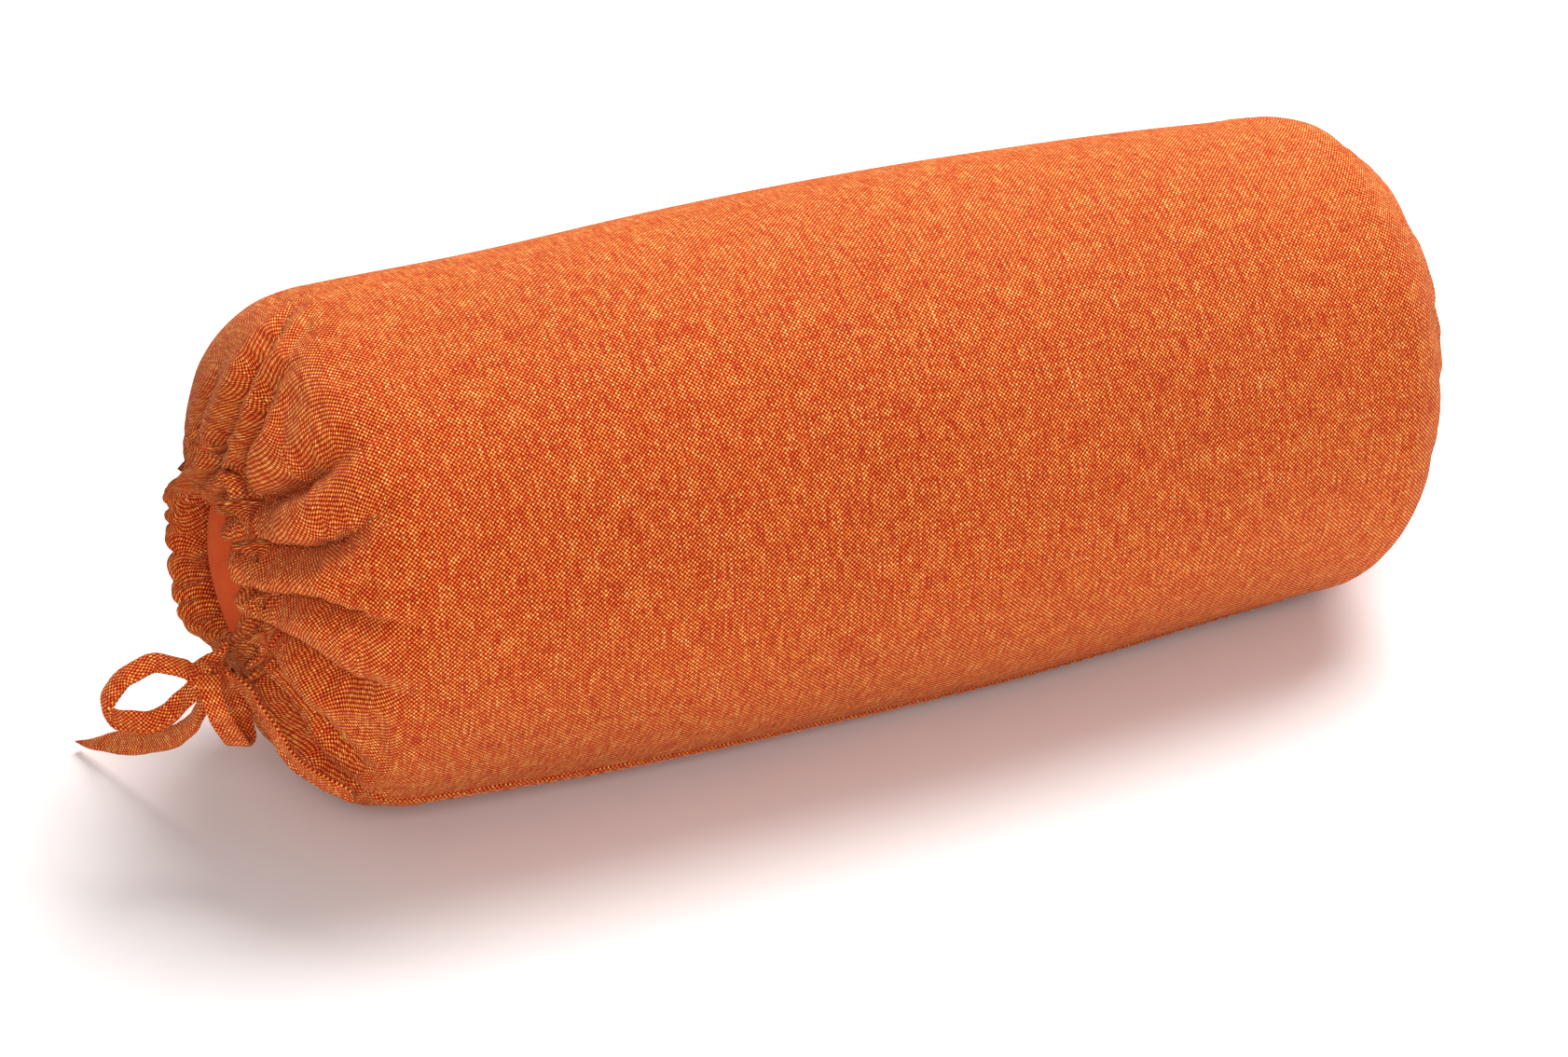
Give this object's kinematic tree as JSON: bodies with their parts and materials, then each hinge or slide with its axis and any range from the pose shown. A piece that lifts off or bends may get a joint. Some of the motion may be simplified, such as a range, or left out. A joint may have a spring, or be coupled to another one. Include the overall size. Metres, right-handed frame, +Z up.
{
  "type": "bolster pillow",
  "caption": "Round bolster pillow: a two-tone woven cloth cover with gathered ends, each closed by a drawstring tied in a bow, round a filled inner pillow.",
  "frame": {"origin": "under the middle of the pillow, on the surface it rests on", "axes": "+X along the pillow, the left end being at -X; +Y away from the side on which the long seam lies; +Z up"},
  "size_m": [0.4231, 0.15, 0.1457],
  "materials": {
    "cover_cloth": "coarse plain weave cotton, dark orange-red warp and yellow-orange weft",
    "tape_cloth": "the cover's cloth, folded into a flat tape",
    "lining_cloth": "fine plain cotton, salmon red",
    "thread": "sewing thread, dark orange",
    "fibre_filling": "loose cotton fibre, off-white"
  },
  "bodies": {
    "pillow": {"cover_panel": "cover_cloth", "side_seam_lap": "cover_cloth", "side_seam_stitching": "thread", "hem_channel_left": "cover_cloth", "hem_channel_right": "cover_cloth", "hem_stitching_left": "thread", "hem_stitching_right": "thread", "slot_tacks_left": "thread", "slot_tacks_right": "thread", "drawstring_left": "tape_cloth", "drawstring_right": "tape_cloth", "inner_case_tube": "lining_cloth", "inner_case_end_left": "lining_cloth", "inner_case_end_right": "lining_cloth", "inner_seam_left": "thread", "inner_seam_right": "thread", "inner_closing_seam": "thread", "filling": "fibre_filling"},
    "bow_left": {"bow_knot_left": "tape_cloth", "bow_loop_out_left": "tape_cloth", "bow_loop_down_left": "tape_cloth", "bow_tail_long_left": "tape_cloth", "bow_tail_short_left": "tape_cloth"},
    "bow_right": {"bow_knot_right": "tape_cloth", "bow_loop_out_right": "tape_cloth", "bow_loop_down_right": "tape_cloth", "bow_tail_long_right": "tape_cloth", "bow_tail_short_right": "tape_cloth"}
  },
  "joints": [
    {"name": "bow_left_lift", "type": "hinge", "parent": "pillow", "child": "bow_left", "pos_m": [-0.18385, -0.01642, 0.05647], "axis": [0, 1, 0], "range_deg": [0, 55]},
    {"name": "bow_right_lift", "type": "hinge", "parent": "pillow", "child": "bow_right", "pos_m": [0.18385, -0.00919, 0.05195], "axis": [0, -1, 0], "range_deg": [0, 55]}
  ]
}
